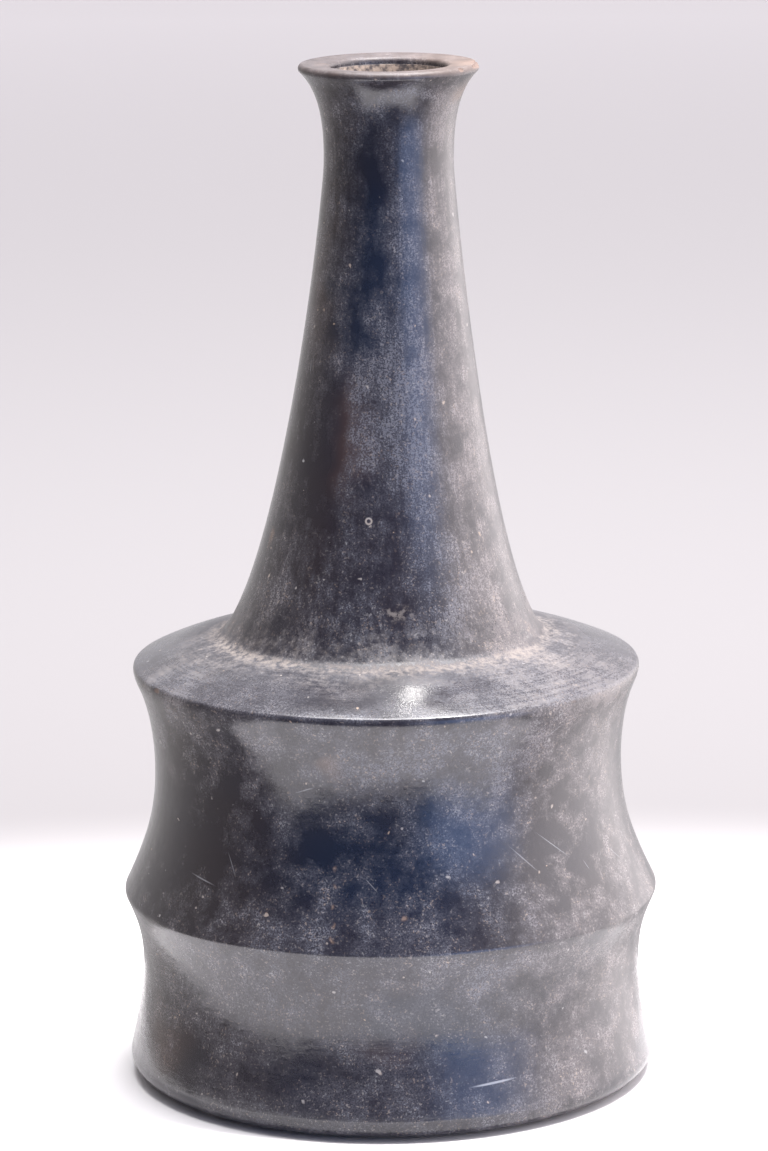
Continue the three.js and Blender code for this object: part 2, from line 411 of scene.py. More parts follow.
def turning_tree():
    tree = bpy.data.node_groups.new("Turned wall", "GeometryNodeTree")
    face = tree.interface
    face.new_socket("Geometry", in_out="INPUT", socket_type="NodeSocketGeometry")
    for name, kind in (
        ("Steps round", "NodeSocketInt"),
        ("Unevenness", "NodeSocketFloat"),
        ("Unevenness size", "NodeSocketFloat"),
        ("Seed", "NodeSocketFloat"),
        ("Material", "NodeSocketMaterial"),
    ):
        face.new_socket(name, in_out="INPUT", socket_type=kind)
    face.new_socket("Geometry", in_out="OUTPUT", socket_type="NodeSocketGeometry")

    def node(kind, settings=None, inputs=None, output=0):
        return Wire.node(tree, kind, settings, inputs, output)

    line = node("NodeGroupInput", output="Geometry")
    rows = node("GeometryNodeAttributeDomainSize", {"component": "MESH"}, {"Geometry": line})
    size = {"Size X": 1.0, "Size Y": 1.0}
    size.update({"Vertices X": line.also("Steps round") + 1, "Vertices Y": rows})
    grid = node("GeometryNodeMeshGrid", None, size)
    share = node("ShaderNodeSeparateXYZ", None, {"Vector": grid.also("UV Map")})
    row = (share.also("Y") * (rows - 1)).math("ROUND")

    def from_row(kind, value):
        inputs = {"Geometry": line, "Value": value, "Index": row}
        return node("GeometryNodeSampleIndex", {"data_type": kind, "domain": "POINT"}, inputs)

    def named(name):
        return node("GeometryNodeInputNamedAttribute", {"data_type": "FLOAT"}, {"Name": name})

    point = from_row("FLOAT_VECTOR", node("GeometryNodeInputPosition"))
    point = node("ShaderNodeSeparateXYZ", None, {"Vector": point})
    seam = math.pi / 2  # at the back
    angle = share * math.tau + seam
    across = point * angle.math("COSINE") + from_row("FLOAT", named("lean"))
    deep = point * angle.math("SINE")
    place = node("ShaderNodeCombineXYZ", None, {"X": across, "Y": deep, "Z": point.also("Z")})
    stored = {"Geometry": grid, "Name": "outside", "Value": from_row("FLOAT", named("outside"))}
    kept = {"data_type": "FLOAT", "domain": "POINT"}
    wall = node("GeometryNodeStoreNamedAttribute", kept, stored)
    wall = node("GeometryNodeSetPosition", None, {"Geometry": wall, "Position": place})
    wall = node("GeometryNodeMergeByDistance", None, {"Geometry": wall, "Distance": SAME_PLACE})

    lumps = {"W": line.also("Seed"), "Scale": 1 / line.also("Unevenness size"), "Detail": 2.0}
    lump = node("ShaderNodeTexNoise", {"noise_dimensions": "4D"}, lumps)
    amount = lump * line.also("Unevenness") * named("outside") * -1.0
    push = {0: node("GeometryNodeInputNormal"), "Scale": amount}
    push = node("ShaderNodeVectorMath", {"operation": "SCALE"}, push)
    wall = node("GeometryNodeSetPosition", None, {"Geometry": wall, "Offset": push})
    wall = node("GeometryNodeSetShadeSmooth", None, {"Geometry": wall})
    wall = node("GeometryNodeRealizeInstances", None, {"Geometry": wall})
    dressed = {"Geometry": wall, "Material": line.also("Material")}
    wall = node("GeometryNodeSetMaterial", None, dressed)
    node("NodeGroupOutput", None, {"Geometry": wall})
    return tree


turned_wall = turning_tree()
print("the tree that turns the outline has", len(turned_wall.nodes), "nodes")

# %% Turn it into the wall


def built(name, mesh, tree, values):
    """An object with the tree's result as its plain mesh."""
    piece = bpy.data.objects.new(name, mesh)
    bpy.context.scene.collection.objects.link(piece)
    modifier = piece.modifiers.new("build", "NODES")
    modifier.node_group = tree
    for item in tree.interface.items_tree:
        if item.name in values:
            modifier[item.identifier] = values[item.name]
    bpy.context.view_layer.update()
    evaluated = piece.evaluated_get(bpy.context.evaluated_depsgraph_get())
    result = bpy.data.meshes.new_from_object(evaluated)
    piece.modifiers.clear()
    piece.data = result
    result.name = name
    return piece


clay = bpy.data.materials.new("burnished earthenware")
jar = built("burnished_jar", outline, turned_wall, {
    "Steps round": 256,
    "Unevenness": 0.16 * MM,
    "Unevenness size": 45 * MM,
    "Seed": 3.0,
    "Material": clay,
})
print("wall:", len(jar.data.vertices), "vertices,", len(jar.data.polygons), "faces")

# %% [markdown]
# Chips. An edge of burnished clay doesn't dent, it flakes: each knock leaves a shallow scoop with
# rough sides. A boolean cut would leave needle faces in the smooth wall, so the skin near each
# chip is divided finely and pushed in to the far side of a flattened ball that sits on the edge.

# %% One flake
SKIN_MARGIN, FINE_EDGE, FINE_CUTS = 1.5, 0.35, 2
COARSE_GRIT, FINE_GRIT = (1.3, 0.22), (0.5, 0.08)
DEEPEST, BARE_DEPTH = 2.5, 0.3


def edge_point(height, lean_height, radius, direction):
    across = heading(direction) * radius
    return Vector((across.x + lean_at(lean_height), across.y, height)) * MM


def grit(point):
    """How rough the break is at a point, from a coarse and a fine grit of (size, share)."""
    return sum(noise.noise(point / (size * MM)) * share for size, share in (COARSE_GRIT, FINE_GRIT))


def flake(bm, centre, direction, inwards, length, tall, depth):
    """Push the skin in to the far side of a ball of this length, height and depth."""
    turn = Matrix.Rotation(math.radians(direction), 3, "Z")
    push = Vector((math.cos(math.radians(inwards)), 0, math.sin(math.radians(inwards))))
    axes = Matrix((push, Vector((0, 1, 0)), push.cross(Vector((0, 1, 0))))) @ turn.transposed()
    half = Vector((depth, length / 2, tall / 2)) * MM
    reach = (length / 2 + SKIN_MARGIN) * MM
    near = [face for face in bm.faces if (face.calc_center_median() - centre).length < reach]
    edges = {edge for face in near for edge in face.edges if edge.calc_length() > FINE_EDGE * MM}
    bmesh.ops.subdivide_edges(bm, edges=list(edges), cuts=FINE_CUTS, use_grid_fill=True)
    layer = bm.verts.layers.float["chipped"]
    moved = 0
    for vert in bm.verts:
        local = axes @ (vert.co - centre)
        rough = grit(vert.co)
        side = (local.y / half.y) ** 2 + (local.z / half.z) ** 2
        side *= 1 + rough
        if side >= 1 or abs(local.x) > DEEPEST * half.x:
            continue
        pushed = half.x * math.sqrt(1 - side) * (1 + rough) - local.x
        if pushed > 0:
            vert.co += (turn @ push) * pushed
            vert[layer] = max(vert[layer], min(1.0, pushed / (BARE_DEPTH * half.x)))
            moved += 1
    return moved


print("edges over", FINE_EDGE, "mm are divided where a flake goes")

# %% Flake the shoulder and the lip
SHOULDER_INWARDS, LIP_INWARDS = 200, 225
SHOULDER_BITE, SHOULDER_DOWN, LIP_BITE = 0.35, 0.2, 0.5
SHOULDER_CHIPS = [  # direction, length, height, depth
    (207, 5, 3.2, 1.0), (316, 4.4, 2.4, 0.8), (344, 9, 2.2, 0.6), (223.8, 2.6, 1.6, 0.4),
]
LIP_CHIPS = [(358, 11, 3, 0.7)]


def small_chips(rng, count, directions, lengths, heights, depths):
    ranges = (directions, lengths, heights, depths)
    return [tuple(rng.uniform(*limits) for limits in ranges) for _ in range(count)]


def chip_edges(piece):
    rng = random.Random(17)
    bm = bmesh.new()
    bm.from_mesh(piece.data)
    bm.verts.layers.float.new("chipped")
    on_right = small_chips(rng, 12, (312, 360), (1.5, 4), (0.8, 1.6), (0.2, 0.45))
    in_front = small_chips(rng, 5, (190, 310), (1, 2), (0.6, 1), (0.15, 0.3))
    on_lip = small_chips(rng, 7, (-45, 30), (1.5, 3.5), (0.8, 1.6), (0.2, 0.4))
    moved = 0
    height, edge_radius = SHOULDER_HEIGHT - SHOULDER_DOWN, SHOULDER_RADIUS - SHOULDER_BITE
    for direction, length, tall, depth in [*SHOULDER_CHIPS, *on_right, *in_front]:
        centre = edge_point(height, SHOULDER_HEIGHT, edge_radius, direction)
        moved += flake(bm, centre, direction, SHOULDER_INWARDS, length, tall, depth)
    for direction, length, tall, depth in [*LIP_CHIPS, *on_lip]:
        centre = edge_point(HEIGHT - LIP_BITE, HEIGHT, LIP_RADIUS - LIP_BITE, direction)
        moved += flake(bm, centre, direction, LIP_INWARDS, length, tall, depth)
    bmesh.ops.triangulate(bm, faces=[face for face in bm.faces if len(face.verts) > 4])
    volume = bm.calc_volume(signed=True)
    if volume < 0:
        bmesh.ops.reverse_faces(bm, faces=bm.faces)
    open_edges = sum(1 for edge in bm.edges if not edge.is_manifold)
    bm.to_mesh(piece.data)
    bm.free()
    return moved, open_edges, volume


moved, open_edges, volume = chip_edges(jar)
triangles = sum(len(face.vertices) - 2 for face in jar.data.polygons)
print(moved, "points flaked,", open_edges, "open edges,", triangles, "triangles")
print("clay in the wall:", round(volume * 1e6, 1), "cm3")

# %% [markdown]
# Places on the wall. The marks of the finish belong to certain spots: a direction round the jar
# (0 is +X, 270 the front) and a height. This gives the point of the wall there.

# %% A point of the wall
UNDER_LIP = 262


def wall_point(direction, height):
    """The point of the outside in a direction, up to the lip's underside."""
    rising = [row for row in outer_rows if row.y <= UNDER_LIP]
    for low, high in zip(rising, rising[1:]):
        if low.y <= height <= high.y and high.y > low.y:
            break
    radius = low.x + (high.x - low.x) * (height - low.y) / (high.y - low.y)
    across = heading(direction) * radius
    return (across.x + lean_at(height), across.y, height)


print("front of the ridge at", [round(v, 1) for v in wall_point(270, RIDGE_HEIGHT)], "mm")

# %% [markdown]
# The finish, from the inside of the clay outwards: near-black clay with cooler and browner
# clouds; the burnishing strokes; a grey film from burial, worn off in patches; the cream deposit;
# pale grains of the temper showing through; scratches; and tan, worn edges. Painted textures
# would need unwrapping and could not be sharper than their pixels, so each layer is a mask made
# of noise and of soft patches at places of their own, in millimetres on the jar itself.

# %% A tree for the burnished clay
clay.use_nodes = True
skin = clay.node_tree
skin.nodes.clear()


def mixed(tree, share, first, second):
    """A colour between two: the first where share is 0, the second where it is 1."""
    settings = {"data_type": "RGBA", "clamp_factor": True}
    return Wire.node(tree, "ShaderNodeMix", settings, {0: share, 6: first, 7: second}, 2)


def vector(tree, operation, inputs, output=0):
    return Wire.node(tree, "ShaderNodeVectorMath", {"operation": operation}, inputs, output)


def node(kind, settings=None, inputs=None, output=0):
    return Wire.node(skin, kind, settings, inputs, output)


def laid(layer):
    print(layer, "laid,", len(skin.nodes), "nodes so far")


metres = node("ShaderNodeTexCoord", output="Object")
mm = vector(skin, "SCALE", {0: metres, "Scale": 1 / MM})
x = node("ShaderNodeSeparateXYZ", None, {0: mm})
y, z = x.also("Y"), x.also("Z")
radius = (x * x + y * y).math("SQRT")
side = x / radius
laid("measures")

# %% [markdown]
# Two kinds of mask. A cloud is plain noise: it says how much, but not where. A patch belongs to
# one chosen place of the wall and fades out around it; the place is first pushed about by
# noise, by a lot for soft smears and by very little for small marks, so that no patch keeps a
# round outline.

# %% Clouds and patches
NOISE_ROUGHNESS = 0.64
SEED_STEPS = (7.3, 3.1, 5.7)
WANDER_STEP = 40
PATCH_DEPTH = 6.0


def clouds(size, seed, stretch=(1, 1, 1), detail=2.0):
    """Soft noise with lumps about `size` mm apart, longer along the stretched axes."""
    scale = tuple(1 / (size * longer) for longer in stretch)
    start = tuple(seed * step for step in SEED_STEPS)
    place = node("ShaderNodeMapping", None, {"Vector": mm, "Scale": scale, "Location": start})
    inputs = {"Vector": place, "Scale": 1.0, "Detail": detail, "Roughness": NOISE_ROUGHNESS}
    return node("ShaderNodeTexNoise", None, inputs)


def shifted(size, amount, seed):
    """The place, pushed about by noise with lumps of this size in mm."""
    place = vector(skin, "ADD", {0: mm, 1: (seed * WANDER_STEP, 0, 0)})
    inputs = {"Vector": place, "Scale": 1 / size, "Detail": 1.0}
    wander = node("ShaderNodeTexNoise", None, inputs, "Color")
    middle = vector(skin, "SUBTRACT", {0: wander, 1: (0.5, 0.5, 0.5)})
    push = vector(skin, "SCALE", {0: middle, "Scale": amount * 2})
    return vector(skin, "ADD", {0: mm, 1: push})


loose, tight = shifted(13, 9, 1.0), shifted(2.0, 1.0, 2.0)


def patch(direction, height, width, tall, slant=0.0, soft=0.95, of=None):
    """1 in the middle of a patch of the wall, 0 outside it. Sizes in mm, angles in degrees."""
    place = {"Vector": of or loose, "Location": wall_point(direction, height)}
    place["Rotation"] = (math.radians(slant), 0, math.radians(direction))
    place["Scale"] = (max(PATCH_DEPTH, width / 2), width / 2, tall / 2)
    local = node("ShaderNodeMapping", {"vector_type": "TEXTURE"}, place)
    return vector(skin, "LENGTH", {0: local}, "Value").fall(1 - soft, 1.0)


laid("clouds and patches")

# %% [markdown]
# Zones. The outline's own attribute tells the rubbed skin from the rough inside, another one tells
# where an edge has flaked, and heights tell the neck and the flat top of the shoulder. Using the
# attributes keeps each layer off the wrong side of the wall, which a height alone could not.

# %% Zones of the wall


def attribute(name):
    return node("ShaderNodeAttribute", {"attribute_name": name}, None, "Fac")


outside = attribute("outside").rise(0.4, 0.6) * z.rise(0.2, 1.0)
chipped = attribute("chipped")
neck = z.rise(NECK_FOOT_HEIGHT - 1, NECK_FOOT_HEIGHT + 3)
top = z.rise(SHOULDER_HEIGHT - 0.5, SHOULDER_HEIGHT + 0.5) * (1 - neck)
laid("zones")

# %% [markdown]
# The clay. It is near-black, but the black isn't even: bluish over wide parts of the front, and
# brown low on the body and in stripes up the neck. One noise would spread both everywhere, so a
# few wide patches are added to it.

# %% Near-black clay
WARM_BLACK = (0.019, 0.016, 0.021, 1)
COOL_BLACK = (0.010, 0.014, 0.028, 1)
BROWN = (0.050, 0.031, 0.029, 1)
tone = clouds(34, 1)
cool = patch(266, 72, 90, 60) + patch(250, 215, 26, 130) + patch(278, 30, 60, 30) + tone - 0.35
colour = mixed(skin, cool, WARM_BLACK, COOL_BLACK)
brown = patch(206.7, 16, 34, 26) + patch(250, 176, 20, 60) + patch(206, 210, 14, 60) * 0.5
brown = brown + patch(268, 24, 22, 12) * 0.6
colour = mixed(skin, brown * 0.75, colour, BROWN)
laid("clay")

# %% [markdown]
# Burnishing strokes. The stone was drawn up and down the neck and round the body, and each stroke
# left a faint track. Noise that is stretched along the stroke gives them; round the body it is
# read from the direction and the height instead of the place, so that the tracks stay level.

# %% Strokes of the burnishing stone
UPRIGHT_STROKE, UPRIGHT_STRETCH = 0.9, 26
LEVEL_STROKE, LEVEL_PER_TURN = 1.1, 4.5
upright = clouds(UPRIGHT_STROKE, 2, (1, 1, UPRIGHT_STRETCH))
around = {"X": side * LEVEL_PER_TURN, "Y": y / radius * LEVEL_PER_TURN}
around["Z"] = (z - radius) / LEVEL_STROKE
around = node("ShaderNodeCombineXYZ", None, around)
level = node("ShaderNodeTexNoise", None, {"Vector": around, "Scale": 1.0, "Detail": 2.0})
strokes = mixed(skin, neck, level, upright)
strokes = node("ShaderNodeSeparateColor", None, {0: strokes})
laid("strokes")

# %% [markdown]
# Grey film. A thin pale skin lies over the clay and has worn off in patches, most of all on the
# left of the body. How much of it is left is a sum of clouds and of the patches in the table; a
# fine grain then cuts it up, because the film wears away grain by grain.

# %% How much film is left
FILM = [  # direction, height, width, height across, slant in degrees, how much more is left
    (320, 150, 46, 150, 0, 0.18), (300, 131, 44, 40, 0, 0.25), (283, 175, 18, 120, 0, 0.25),
    (213, 172, 30, 120, 0, -0.28), (216, 134, 16, 24, 0, 0.30), (238, 165, 24, 100, 0, -0.45),
    (250, 225, 16, 70, 0, -0.35), (278, 190, 22, 130, 0, 0.50), (254, 178, 15, 80, 0, 0.50),
    (262, 134, 22, 24, 0, -0.35), (262, 238, 12, 28, 0, -0.60), (215, 258, 26, 12, 0, 0.35),
    (280, 258, 40, 7, 0, 0.60), (320, 255, 26, 20, 0, 0.40), (265, 262.5, 14, 3, 0, -0.60),
    (270, 113.8, 66, 14, 0, -0.50), (208, 112.5, 30, 16, 0, 0.45), (320, 113, 90, 40, 0, 0.30),
    (300, 101, 100, 22, 0, 0.35), (272, 98, 60, 14, 0, 0.30), (303, 76, 52, 12, -42, 0.24),
    (258, 78, 60, 30, 0, -0.35), (210, 72, 90, 64, 0, -0.70), (311, 73, 60, 46, 0, -0.40),
    (234, 57, 30, 9, 0, 0.25), (295, 42, 90, 14, 0, 0.35), (232, 42, 50, 10, 0, 0.10),
    (318, 12, 50, 24, 0, 0.30), (245, 21, 40, 28, 0, -0.45), (217, 12, 60, 26, 0, -0.35),
    (290, 20, 34, 20, 0, -0.25),
]
cloudy, crumbs, broad = clouds(7, 4, detail=5.0), clouds(1.5, 7, detail=4.0), clouds(40, 5)
streaks = clouds(2.5, 9, (1, 1, 12), detail=1.0)
upper_wall = z.rise(48, 56) * z.fall(104, 112)
patchy = 1.7 + upper_wall
# Painted light: the film's patches get more contrast on the right side, where the white glow falls,
# but not on the shoulder's top.
on_right = side.rise(0.2, 0.7) * (1 - top)
patchy = patchy + on_right * 1.4 - top * 0.6
left = 0.25 + (cloudy - 0.5) * patchy + (crumbs - 0.5) * 0.5 + (broad - 0.5) * 0.5
left = left + (streaks - 0.5) * neck * 0.8
for direction, height, width, tall, slant, amount in FILM:
    left = left + patch(direction, height, width, tall, slant) * amount
left = left + top * 0.25
laid("film's patches")

# %% The film itself
COOL_FILM = (0.124, 0.128, 0.155, 1)
# The lighter, warmer film colour is used where the right side is painted as lit, and where the tone
# is warm.
WARM_AND_SIDE_LIT_FILM = (0.186, 0.164, 0.168, 1)
grain = clouds(0.42, 6, detail=3.0)
film = left.rise(-0.22, 1.15) * (grain.rise(0.34, 0.66) * 1.1 + 0.15)
film = film * (1 + (strokes - 0.5) * (neck * 1.1 + 1.0))
film = film.smaller(1.0) * outside
# Painted light: the film is painted lighter and warmer on the right side, which faces the white
# glow, and half as much at the far left edge. There is less of it on the shoulder's top, and a
# random warmer tone lies over it.
side_light_and_tone = (side.rise(0.30, 0.75) + side.fall(-0.9, -0.3) * 0.5) * (1 - top * 0.7) + (tone - 0.5)
grey = mixed(skin, side_light_and_tone, COOL_FILM, WARM_AND_SIDE_LIT_FILM)
colour = mixed(skin, film * 0.9, colour, grey)
laid("film")

# %% [markdown]
# Cream deposit. It lies where water would stand: in the angle at the neck's foot, in smears on
# the shoulder, and as one crust low on the neck. Heights give the ring, a small table the smears.

# %% Deposit on the shoulder
CREAM = (0.26, 0.228, 0.210, 1)
DEPOSIT = [  # direction, height, width, height across, share
    (205, 113.7, 44, 26, 0.45), (325, 113.7, 70, 26, 0.40),
    (256, 116, 40, 10, 0.30), (303, 112, 36, 12, 0.30),
]
smears = crumbs * 0.3 + strokes * 0.3 + cloudy * 0.4
above_foot = z - NECK_FOOT_HEIGHT
junction = above_foot.math("ABSOLUTE").fall(0.0, 3.5).larger(above_foot.fall(1, 15) * neck * 0.6)
deposit = junction * (crumbs + (cloudy - 0.5)).rise(0.40, 0.75) * 0.5
deposit = deposit + above_foot.math("ABSOLUTE").fall(0.2, 1.1) * crumbs.rise(0.35, 0.60) * 0.5
for direction, height, width, tall, amount in DEPOSIT:
    deposit = deposit + patch(direction, height, width, tall) * smears.rise(0.40, 0.66) * amount
deposit = deposit + patch(275.4, 130.3, 14, 5, 0, 0.9, tight) * crumbs.rise(0.40, 0.62) * 0.6
deposit = deposit.smaller(1.0) * outside
colour = mixed(skin, deposit * 0.85, colour, CREAM)
laid("deposit")

# %% [markdown]
# Temper. Grains in the clay show as pale dots where the skin wore thin, a few of them large.
# Cells of one size with dots of random size in them give that, and a share of the cells stays
# empty. Two white grains and a small pale ring on the neck are set at their own places.

# %% Pale grains and specks
GREY_GRAIN = (0.33, 0.33, 0.34, 1)
TAN_GRAIN = (0.40, 0.30, 0.23, 1)
GRAIN_CELL = 3.2
GRAINS = [(241.8, 57.9, 1.7), (267.3, 18.5, 1.8)]
EYE = (261.7, 153)
cell = node("ShaderNodeTexVoronoi", None, {"Vector": tight, "Scale": 1 / GRAIN_CELL})
luck = node("ShaderNodeSeparateColor", None, {0: cell.also("Color")})
dot = luck.also("Green") ** 5.0 * 0.17 + 0.045  # mostly small, seldom large
temper = (cell / dot).fall(0.5, 1.0) * luck.rise(0.3, 0.31)
specks = clouds(0.66, 14, detail=1.0).rise(0.60, 0.70) * (left + 0.2)
specks = specks * z.fall(130, 190).larger(0.6)
temper = (temper * 0.9).larger(specks * (0.7 - top * 0.4))
for direction, height, wide in GRAINS:
    temper = temper.larger(patch(direction, height, wide, wide, 0, 0.4, tight))
eye = patch(*EYE, 2.2, 2.2, 0, 0.3, mm) - patch(*EYE, 1.2, 1.2, 0, 0.3, mm)
temper = temper.larger(eye) * outside
pale = mixed(skin, luck.also("Blue"), GREY_GRAIN, TAN_GRAIN)
colour = mixed(skin, temper * 0.8, colour, pale)
laid("temper")

# %% [markdown]
# Scratches. They are thin, pale and straight, so each is a patch far longer than it is wide, on
# the place that noise hasn't moved. The bright one near the foot and four others have places of
# their own; the rest are drawn at random, with a fixed seed.

# %% Scratches
SCRATCH_GREY = (0.36, 0.37, 0.40, 1)
SCRATCHES = [  # direction, height, length, width, slant in degrees
    (222, 63, 12, 0.5, -8), (250, 90, 7, 0.4, 20),
    (312, 72, 16, 0.4, -38), (303, 70, 14, 0.4, -44),
]
rng = random.Random(5)
for _ in range(8):
    low, high = rng.choice([(6, 45), (54, 105), (54, 105), (125, 230)])
    slant = rng.uniform(-60, 60) if low < 120 else rng.choice([-1, 1]) * rng.uniform(60, 90)
    place = (rng.uniform(200, 340), rng.uniform(low, high))
    SCRATCHES.append((*place, rng.uniform(3, 9), 0.3, slant))
scratches = patch(292.5, 14.0, 15, 0.8, 4, 0.6, mm)
for direction, height, length, wide, slant in SCRATCHES:
    scratches = scratches.larger(patch(direction, height, length, wide, slant, 0.8, mm) * 0.6)
scratches = scratches * outside
colour = mixed(skin, scratches * 0.7, colour, SCRATCH_GREY)
laid("scratches")

# %% [markdown]
# Tan marks. The dark skin is thin, and tan clay shows where it is gone: in a spot and a string of
# dots above the ridge, in two blotches, and along the lip, the edge that wears first.

# %% Tan marks and the worn lip
TAN = (0.190, 0.130, 0.102, 1)
TAN_DOTS = [(257.4, 70.5), (257.4, 66), (257.2, 61), (257.5, 57), (257.3, 53.4)]
tan = patch(272.9, 58.7, 1.9, 1.9, of=tight)
for direction, height in TAN_DOTS:
    tan = tan.larger(patch(direction, height, 1.4, 2.0, of=tight) * 0.8)
tan = tan + patch(256.3, 95.9, 14, 8) * 0.4 + patch(201.8, 144.5, 6, 8) * 0.7
ring = (z - (HEIGHT - 2.2)).rise(0, 1.5) * outside
tan = tan + ring * (crumbs * 0.5 + side * 0.15 + 0.1)
tan = tan + patch(350, HEIGHT - 5, 22, 14) * 0.7 + patch(180, HEIGHT - 4, 10, 8) * 0.5
colour = mixed(skin, tan.smaller(1.0) * 0.8, colour, TAN)
laid("tan marks")

# %% [markdown]
# Bare clay. The inside was not rubbed: it is rough, and pale in spots. A flaked edge shows the
# clay's own brown. The wall's two attributes say where each of them is.

# %% Inside and fresh breaks
DARK_CRUST = (0.08, 0.070, 0.075, 1)
PALE_CRUST = (0.50, 0.40, 0.33, 1)
BREAK = (0.150, 0.105, 0.088, 1)
earth = mixed(skin, crumbs.rise(0.35, 0.65), DARK_CRUST, PALE_CRUST)
colour = mixed(skin, 1 - outside, colour, earth)
colour = mixed(skin, chipped, colour, BREAK)
laid("bare clay")

# %% [markdown]
# Gloss. Burnished clay shines by itself, without a glaze, so there is no clear coat: the skin's own
# roughness is low, and every layer that lies on it or breaks it makes it duller. The relief is
# only what the wall's mesh is too coarse for: soft lumps, strokes and grain, in millimetres.

# %% Gloss and relief
POLISH = 0.09
DULLEST = 0.9
REFRACTION = 1.6
dull = film * 0.2 + deposit * 0.6 + junction * 0.3 + (1 - outside) * 0.4
dull = dull + chipped * 0.4 + tan * 0.15 + ring * 0.3
roughness = (strokes * 0.12 + POLISH + dull).smaller(DULLEST)
relief = clouds(5, 12) * 0.08 + strokes * 0.018 + grain * 0.025 + crumbs * (1.1 - outside) * 0.1
bump = node("ShaderNodeBump", None, {"Strength": 1.0, "Distance": MM, "Height": relief})
inputs = {"Base Color": colour, "Roughness": roughness, "IOR": REFRACTION, "Normal": bump}
shader = node("ShaderNodeBsdfPrincipled", None, inputs)
node("ShaderNodeOutputMaterial", None, {"Surface": shader})
laid("gloss")

# %% [markdown]
# Floor. The gloss is half of this jar's look, and gloss is only what stands round it. The floor is
# paper, pale near the jar, with a painted falloff of light: it is painted dark a short way off and
# paler again far away. Only a sheet near the jar may be mirrored in it, and it ends a short way in
# front, so that the upper wall mirrors paper at its top and the dark room below; the rest of the
# floor is there for the camera and for the light that it throws back.

# %% Paper with a painted falloff of light
FAR = 30
BENEATH = -0.0002
NEAR_EDGE = [
    (-0.24, -0.24), (0.24, -0.24), (0.115, -0.01),
    (0.092, 0.092), (-0.088, 0.092), (-0.125, -0.01),
]
BRIGHT_PAPER = (0.86, 0.85, 0.86, 1)
# The dim colour and the far colour are painted shade and painted light on the same paper.
PAPER_IN_PAINTED_SHADE = (0.245, 0.237, 0.245, 1)
PAPER_PAINTED_PALER_FAR = (0.66, 0.645, 0.67, 1)
PAPER_ROUGHNESS = 0.9


def flat(name, corners, height, material):
    mesh = bpy.data.meshes.new(name)
    mesh.from_pydata([(x, y, height) for x, y in corners], [], [range(len(corners))])
    mesh.materials.append(material)
    piece = bpy.data.objects.new(name, mesh)
    bpy.context.scene.collection.objects.link(piece)
    return piece


paper = bpy.data.materials.new("paper with painted falloff")
paper.use_nodes = True
sheet = paper.node_tree
ground = Wire.node(sheet, "ShaderNodeTexCoord", output="Object")
ground = vector(sheet, "ADD", {0: ground, 1: (0, 0.13, 0)})
ground = vector(sheet, "MULTIPLY", {0: ground, 1: (0.7, 1, 1)})
away = vector(sheet, "LENGTH", {0: ground}, "Value")
# Painted falloff of light: the paper keeps its pale colour near the jar, is painted dark a little
# farther off, and is painted paler again far away.
far = mixed(sheet, (away - 0.4) * 0.45, PAPER_IN_PAINTED_SHADE, PAPER_PAINTED_PALER_FAR)
paper_painted_falloff = mixed(sheet, away.rise(0.20, 0.40), BRIGHT_PAPER, far)
sheet.links.new(paper_painted_falloff.socket, sheet.nodes["Principled BSDF"].inputs["Base Color"])
sheet.nodes["Principled BSDF"].inputs["Roughness"].default_value = PAPER_ROUGHNESS
near_floor = flat("near_floor", NEAR_EDGE, 0, paper)
far_edge = [(-FAR, -FAR), (FAR, -FAR), (FAR, FAR), (-FAR, FAR)]
far_floor = flat("far_floor", far_edge, BENEATH, paper)
far_floor.visible_glossy = False
print("floor laid, near sheet with", len(NEAR_EDGE), "corners")

# %% [markdown]
# Room. The jar mirrors a room that is bright behind it and on the right, dimmer on the left and
# dark in front, with two soft glows: a wide white one on the right and a small bluish one to the
# front right. A picture of a room would do too, but a ring of colours and two glows can be set one
# by one. The camera itself sees plain pale grey.

# %% The room's colours
OPEN_CEILING = (1.2, 1.15, 1.15, 1)
WHITE_GLOW = (2.9, 2.7, 2.7, 1)
BLUE_GLOW = (0.72, 1.15, 2.2, 1)
BACKDROP = (0.80, 0.79, 0.83, 1)
ROOM = [  # share of a turn from behind, round by the left, the front and the right; colour
    (0.00, (0.80, 0.78, 0.80, 1)), (0.15, (0.66, 0.62, 0.60, 1)), (0.23, (0.40, 0.37, 0.35, 1)),
    (0.32, (0.20, 0.17, 0.17, 1)), (0.40, (0.06, 0.08, 0.15, 1)), (0.56, (0.08, 0.12, 0.25, 1)),
    (0.66, (0.60, 0.58, 0.64, 1)), (0.86, (1.0, 0.94, 0.95, 1)), (1.00, (0.80, 0.78, 0.80, 1)),
]
scene = bpy.context.scene
room = bpy.data.worlds.new("Studio")
scene.world = room
room.use_nodes = True
sky = room.node_tree
sky.nodes.clear()
facing = Wire.node(sky, "ShaderNodeTexCoord")
right = Wire.node(sky, "ShaderNodeSeparateXYZ", None, {0: facing})
back, up = right.also("Y"), right.also("Z")
bearing = right.math("ARCTAN2", back * -1.0) / math.tau + 0.5


def direction_to(bearing, rise):
    """A unit vector towards a bearing (0 front, 90 right) and a rise, in degrees."""
    turn, lift = math.radians(bearing), math.radians(rise)
    level = math.cos(lift)
    return Vector((math.sin(turn) * level, -math.cos(turn) * level, math.sin(lift)))


def glow(bearing, rise, half_width):
    """1 towards a bearing and a rise, fading to 0 this many degrees away."""
    towards = direction_to(bearing, rise)
    near = vector(sky, "DOT_PRODUCT", {0: facing, 1: towards}, "Value")
    return near.rise(math.cos(math.radians(half_width)), 1.0)


